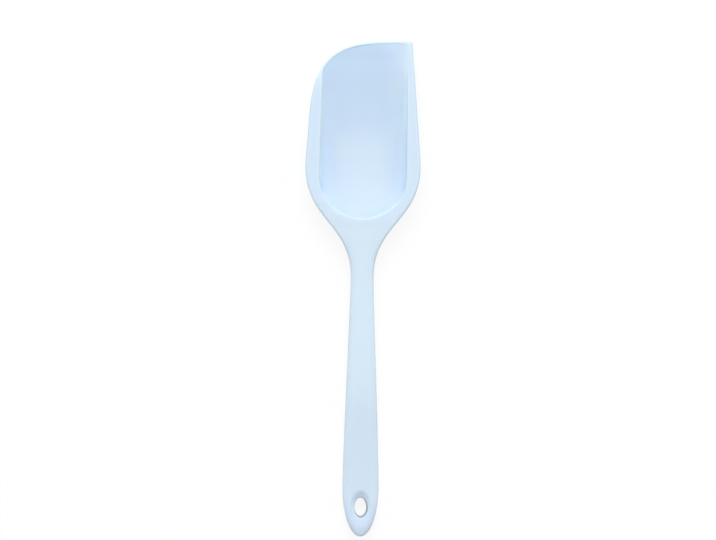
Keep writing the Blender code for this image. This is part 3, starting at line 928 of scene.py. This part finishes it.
def settle_order(mesh):
    """Lists edges and faces by their points, because extrude lists them in another order on each run."""
    cage = bmesh.new()
    cage.from_mesh(mesh)
    count = len(cage.verts)

    def by_points(item):
        places = sorted(vertex.index for vertex in item.verts)
        return float(sum(place * count ** step for step, place in enumerate(places)))

    cage.edges.sort(key=by_points)
    cage.faces.sort(key=by_points)
    cage.to_mesh(mesh)
    cage.free()
    ends = np.empty(len(mesh.edges) * 2, np.int32)
    mesh.edges.foreach_get("vertices", ends)
    mesh.edges.foreach_set("vertices", np.sort(ends.reshape(-1, 2), axis=1).ravel())


class SPATULA_OT_skin(bpy.types.Operator):
    """Model the seamless silicone skin"""

    bl_idname = "spatula.skin"
    bl_label = "Silicone skin"

    def execute(self, context):
        shape = Shape(context.scene)
        head = head_rings(shape, head_spokes(shape))
        end = end_rings(shape, end_spokes(shape))
        skin = empty_cage("silicone_skin")
        extrude_rings(skin, head, HEAD_ORDER)
        merge_all()
        select_edges(skin, lambda edge: edge.is_boundary)
        extrude_to(skin, head["floor 1"], head["floor 0"])
        merge_all()
        extrude_rings(skin, end, END_ORDER)
        merge_all()
        extrude_handle(skin, shape, head, end)
        bpy.ops.mesh.normals_make_consistent(inside=False)
        check_closed(skin)
        bpy.ops.object.mode_set(mode="OBJECT")
        settle_order(skin.data)
        bpy.ops.object.modifier_add(type="SUBSURF")
        finer = skin.modifiers[-1]
        finer.levels = finer.render_levels = 2
        bpy.ops.object.modifier_apply(modifier=finer.name)
        bpy.ops.object.shade_smooth()
        skin.data.materials.append(silicone_skin(context.scene))
        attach(skin, "root")
        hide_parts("skin")
        return {"FINISHED"}


class Paint:
    """The shader nodes of one material, or of the room's light."""

    def __init__(self, owner, shader="Principled BSDF"):
        owner.use_nodes = True
        self.owner = owner
        self.nodes, self.links = owner.node_tree.nodes, owner.node_tree.links
        self.shader = self.nodes[shader]

    def fill(self, node, inputs):
        """Joins each input to its socket, or gives it its plain value."""
        for name, value in inputs.items():
            if isinstance(value, bpy.types.NodeSocket):
                self.links.new(value, node.inputs[name])
            else:
                node.inputs[name].default_value = value

    def add(self, kind, inputs, **settings):
        """Adds a node and gives its first output."""
        node = self.nodes.new(kind)
        for name, value in settings.items():
            setattr(node, name, value)
        self.fill(node, inputs)
        return node.outputs[0]

    def place(self):
        """The place on the object, in its own coordinates."""
        return self.nodes.new("ShaderNodeTexCoord").outputs["Object"]

    def noise(self, place, scale, detail=2.0):
        return self.add("ShaderNodeTexNoise", {"Vector": place, "Scale": scale, "Detail": detail})

    def ranged(self, socket, least, most):
        return self.add("ShaderNodeMapRange", {"Value": socket, "To Min": least, "To Max": most})

    def step(self, socket, start, end, most=1.0, least=0.0):
        """A smooth step from least at start to most at end."""
        inputs = {"Value": socket, "From Min": start, "From Max": end, "To Min": least, "To Max": most}
        return self.add("ShaderNodeMapRange", inputs, interpolation_type="SMOOTHSTEP")

    def both(self, first, second, operation="MULTIPLY"):
        return self.add("ShaderNodeMath", {0: first, 1: second}, operation=operation)

    def mix(self, share, first, second):
        """A colour that runs from the first to the second."""
        node = self.nodes.new("ShaderNodeMix")
        node.data_type = "RGBA"
        self.fill(node, {"Factor": share, "A": (*first, 1.0), "B": (*second, 1.0)})
        return node.outputs["Result"]

    def bump(self, height, distance, strength):
        return self.add("ShaderNodeBump", {"Height": height, "Distance": distance, "Strength": strength})

    def oval(self, place, centre, half):
        """How far out a place lies, seen from above: 0 at the oval's centre and 1 on its edge."""
        scale = (1 / half[0], 1 / half[1], 0.0)
        move = (-centre[0] / half[0], -centre[1] / half[1], 0.0)
        scaled = self.add("ShaderNodeVectorMath", {0: place, 1: scale, 2: move}, operation="MULTIPLY_ADD")
        reach = self.nodes.new("ShaderNodeVectorMath")
        reach.operation = "LENGTH"
        self.fill(reach, {0: scaled})
        return reach.outputs["Value"]


def silicone_skin(scene):
    """Soft matte silicone with a satin mould finish, with light and shade painted into its colour in
    places.
    """
    finish = scene.spatula_finish
    paint = Paint(bpy.data.materials.new("silicone_skin"))
    place = paint.place()
    thin, painted_light_shade = thin_tone_and_painted_light(scene, paint, place)
    # The thin colour: partly the thin silicone's own tone, partly painted shade
    tone = paint.mix(thin, finish.skin_colour, finish.thin_colour)
    cloudy = paint.ranged(paint.noise(place, scale=45.0, detail=3.0), least=0.985, most=1.012)
    # Painted light and shade scale the colour, together with a random cloudiness
    scaling = {"Vector": tone, "Scale": paint.both(cloudy, painted_light_shade)}
    looks = {
        "Base Color": paint.add("ShaderNodeVectorMath", scaling, operation="SCALE"),
        "IOR": 1.41,
        "Roughness": finish.skin_roughness,
        "Subsurface Weight": 0.6,
        "Subsurface Radius": (0.8, 0.9, 1.0),
        "Subsurface Scale": 0.0025,
        "Sheen Weight": 0.08,
        "Sheen Roughness": 0.5,
        "Normal": paint.bump(paint.noise(place, scale=2600.0), distance=0.00002, strength=0.5),
    }
    paint.fill(paint.shader, looks)
    return paint.owner


def thin_tone_and_painted_light(scene, paint, place):
    """Where the silicone takes the thin colour (partly its own tone, partly painted shade), and the painted
    light and shade besides.
    """
    o, h, b = scene.spatula_outline, scene.spatula_heights, scene.spatula_bowl
    split = paint.nodes.new("ShaderNodeSeparateXYZ")
    paint.fill(split, {"Vector": place})
    x, y, z = split.outputs
    side = paint.add("ShaderNodeMath", {0: x}, operation="ABSOLUTE")
    step, both = paint.step, paint.both

    level = both(z, step(y, o.shoulder_y, o.tip_y, h.rim_z - h.tip_z), "ADD")
    high, low = (h.rim_z - down for down in BELOW_RIM_Z)
    below_rim = step(level, high, low)
    upper = step(both(z, step(y, *BLADE_RISES, BLADE_RISE_Z), "SUBTRACT"), *UPPER_FROM_Z)
    head = both(both(below_rim, upper), step(y, *HEAD_FROM))
    handle = both(both(step(y, *HANDLE_FROM_NECK), step(y, *HANDLE_FROM_END)), upper)
    lip = both(step(level, low, high), step(y, *LIP_FROM))
    foot = both(step(side, *FOOT_INNER_SIDE), step(side, *FOOT_OUTER_SIDE))
    foot = both(foot, both(head, step(y, *FOOT_FROM)))
    behind_blade = both(step(y, *FLOOR_SIDE_FROM), step(y, *FLOOR_SIDE_TO))
    low_y = b.bowl_end_y + b.bowl_end_round
    bowl_end = paint.oval(place, (0.0, low_y), (b.bowl_half, b.bowl_end_round))
    shift = FLARE_SHIFT * b.hole_flare
    hole = paint.oval(place, (shift, b.hang_y - shift), (b.hang_half_x + shift, b.hang_half_y + shift))

    # Past the core's paddle and beside it the blade takes the thin colour, but not by its square corner.
    # This is partly the thin silicone's own tone and partly painted shade on the blade and towards the side
    # walls
    beside = both(step(side, *THIN_BESIDE_SIDE), step(y, *THIN_BESIDE_FROM, THIN_BESIDE_SHARE))
    past = both(step(y, *THIN_FROM), beside, "MAXIMUM")
    off_corner = both(step(x, *OFF_CORNER_X), step(y, *BEFORE_CORNER), "MAXIMUM")
    thin = both(both(past, both(off_corner, step(foot, 1.0, 0.0))), below_rim)

    # Painted light and shade: each tone scales the colour up or down where light or shade falls
    painted_tones = [
        step(mask, 0.0, 1.0, share, 1.0)
        for mask, share in (
            # Painted shade: the bowl's floor below the rim a little darker
            (head, 0.982),
            # Painted light: the top of the handle lighter, from the neck to about its middle
            (handle, 1.03),
            # Painted light: the foot of the bowl's side walls lighter, where the walls shade the floor
            (foot, 1.04),
            # More painted light at the foot of the left side wall
            (both(foot, step(x, *LEFT_FOOT_X)), 1.06),
            # Painted light: the floor towards the side walls lighter, between the deepest place and the
            # blade
            (both(both(behind_blade, head), step(side, *FLOOR_SIDE)), 1.03),
            # Painted highlight: the lip round the tip lighter, except at its right end
            (both(lip, step(x, *LIP_RIGHT_END_X)), 1.08),
            # Painted shade: the foot of the wall at the bowl's neck end darker
            (both(step(bowl_end, *NECK_FOOT_OVAL), both(head, step(y, low_y, NECK_FOOT_TO))), 0.955),
            # Painted shade: the floor just inside the tip edge darker
            (both(head, step(y, *TIP_EDGE_FROM)), 0.955),
        )
    ]
    painted_tones += [
        # Painted shade: the hanging hole's wall darker
        step(hole, *HOLE_OVAL, 0.58, 1.0),
        # Painted shade: the end below the hanging hole a little darker
        step(y, *LOWER_HOLE_FROM, 0.96, 1.0),
        # Painted shade: the hanging end's edge a little darker
        step(y, *END_EDGE_FROM, 0.97, 1.0),
    ]
    painted_light_shade = painted_tones[0]
    for tone in painted_tones[1:]:
        painted_light_shade = both(painted_light_shade, tone)
    return thin, painted_light_shade


class SPATULA_OT_core(bpy.types.Operator):
    """Finish the nylon core and the locating plugs"""

    bl_idname = "spatula.core"
    bl_label = "Core and plugs"

    def execute(self, context):
        finish = context.scene.spatula_finish
        nylon = plain_plastic("nylon_core", finish.core_colour, roughness=0.42, scale=900.0)
        plug = plain_plastic("silicone_plug", finish.plug_colour, roughness=0.6, scale=2200.0)
        for name, material in [("core", nylon)] + [(name, plug) for name in PLUGS]:
            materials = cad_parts[name].data.materials
            materials.clear()
            materials.append(material)
        return {"FINISHED"}


def plain_plastic(name, base, roughness, scale):
    """A moulded surface with a faint speckle in its colour and its relief."""
    paint = Paint(bpy.data.materials.new(name))
    speckle = paint.noise(paint.place(), scale)
    darker = [value * 0.95 for value in base]
    tint = paint.mix(speckle, darker, base)
    normal = paint.bump(speckle, distance=0.00003, strength=0.4)
    paint.fill(paint.shader, {"Roughness": roughness, "Base Color": tint, "Normal": normal})
    return paint.owner


class SPATULA_OT_stage(bpy.types.Operator):
    """Set the table, the soft light and the camera"""

    bl_idname = "spatula.stage"
    bl_label = "Stage"

    def execute(self, context):
        settings = context.scene.spatula_stage
        bpy.ops.object.select_all(action="DESELECT")
        bpy.ops.mesh.primitive_plane_add(size=TABLE_SIZE, location=(0.0, 0.0, 0.0))
        table = context.active_object
        table.name = "table_top"
        table.data.materials.append(table_paint(settings.floor_colour, settings.floor_white))
        away, tilt = settings.key_distance, settings.key_tilt
        place = (0.0, away * math.sin(tilt), away * math.cos(tilt))
        soft_box("soft_box_top", place, KEY_SIZE, settings.key_power)
        away, rise = settings.side_distance, settings.side_height
        for name, side in (("soft_box_left", -1.0), ("soft_box_right", 1.0)):
            place = (side * away * math.cos(rise), 0.0, away * math.sin(rise))
            soft_box(name, place, SIDE_SIZE, settings.side_power)
        room_light(context.scene, settings.world_strength)
        bpy.ops.object.camera_add(
            location=(settings.camera_x, settings.camera_y, settings.camera_height),
            rotation=(0.0, 0.0, settings.camera_roll),
        )
        camera = context.active_object
        camera.data.lens = settings.lens
        camera.data.sensor_width = 36.0
        camera.data.clip_start = 0.05
        context.scene.camera = camera
        context.scene.view_settings.view_transform = "Standard"
        return {"FINISHED"}


def soft_box(name, place, size, power):
    """A rectangular area lamp that points at the tool."""
    bpy.ops.object.light_add(type="AREA", location=place)
    lamp = bpy.context.active_object
    lamp.name = name
    lamp.data.shape = "RECTANGLE"
    lamp.data.size, lamp.data.size_y = size
    lamp.data.energy = power
    aim = -lamp.location.normalized()
    lamp.rotation_euler = aim.to_track_quat("-Z", "Y").to_euler()


def table_paint(base, white_share):
    """A pale matt table that the camera sees as white, with the tool's shadow on it."""
    paint = Paint(bpy.data.materials.new("table_paint"))
    seen = seen_directly(paint)
    tint = paint.mix(seen, base, (1.0, 1.0, 1.0))
    paint.fill(paint.shader, {"Roughness": 0.8, "Specular IOR Level": 0.0, "Base Color": tint})
    share = paint.both(seen, white_share)
    white = paint.add("ShaderNodeEmission", {})
    mix = paint.add("ShaderNodeMixShader", {"Fac": share, 1: paint.shader.outputs[0], 2: white})
    paint.fill(paint.nodes["Material Output"], {"Surface": mix})
    return paint.owner


def seen_directly(paint):
    """1 for what the camera sees, also in a reflection or through glass, and 0 for the light that falls."""
    path = paint.nodes.new("ShaderNodeLightPath")
    seen = path.outputs["Is Camera Ray"]
    for kind in ("Is Glossy Ray", "Is Transmission Ray"):
        seen = paint.both(seen, path.outputs[kind], "MAXIMUM")
    return seen


def room_light(scene, strength):
    """Even white light. The camera and reflections see it as plain white."""
    scene.world = bpy.data.worlds.new("room")
    room = Paint(scene.world, "Background")
    level = room.ranged(seen_directly(room), strength, 1.0)
    room.fill(room.shader, {"Color": (1.0, 1.0, 1.0, 1.0), "Strength": level})


class SPATULA_PT_panel(bpy.types.Panel):
    """Lists the sizes and the operators"""

    bl_idname = "SPATULA_PT_panel"
    bl_label = "Spoon spatula"
    bl_space_type = "VIEW_3D"
    bl_region_type = "UI"
    bl_category = "Spatula"

    def draw(self, context):
        scene = context.scene
        for label, group in (
            ("Outline", scene.spatula_outline),
            ("Heights", scene.spatula_heights),
            ("Bowl and hole", scene.spatula_bowl),
            ("Finish", scene.spatula_finish),
            ("Stage", scene.spatula_stage),
        ):
            box = self.layout.box()
            box.label(text=label)
            for name in group.__annotations__:
                box.prop(group, name)
        for operator in OPERATORS:
            self.layout.operator(operator.bl_idname)


GROUPS = {
    "spatula_outline": SpatulaOutline,
    "spatula_heights": SpatulaHeights,
    "spatula_bowl": SpatulaBowl,
    "spatula_finish": SpatulaFinish,
    "spatula_stage": SpatulaStage,
}
OPERATORS = (SPATULA_OT_skin, SPATULA_OT_core, SPATULA_OT_stage)


def register():
    for name, group in GROUPS.items():
        bpy.utils.register_class(group)
        setattr(bpy.types.Scene, name, bpy.props.PointerProperty(type=group))
    for operator in OPERATORS:
        bpy.utils.register_class(operator)
    bpy.utils.register_class(SPATULA_PT_panel)


def unregister():
    bpy.utils.unregister_class(SPATULA_PT_panel)
    for operator in reversed(OPERATORS):
        bpy.utils.unregister_class(operator)
    for name, group in reversed(GROUPS.items()):
        delattr(bpy.types.Scene, name)
        bpy.utils.unregister_class(group)


def main():
    register()
    bpy.ops.spatula.skin()
    bpy.ops.spatula.core()
    bpy.ops.spatula.stage()


if __name__ == "__main__":
    main()
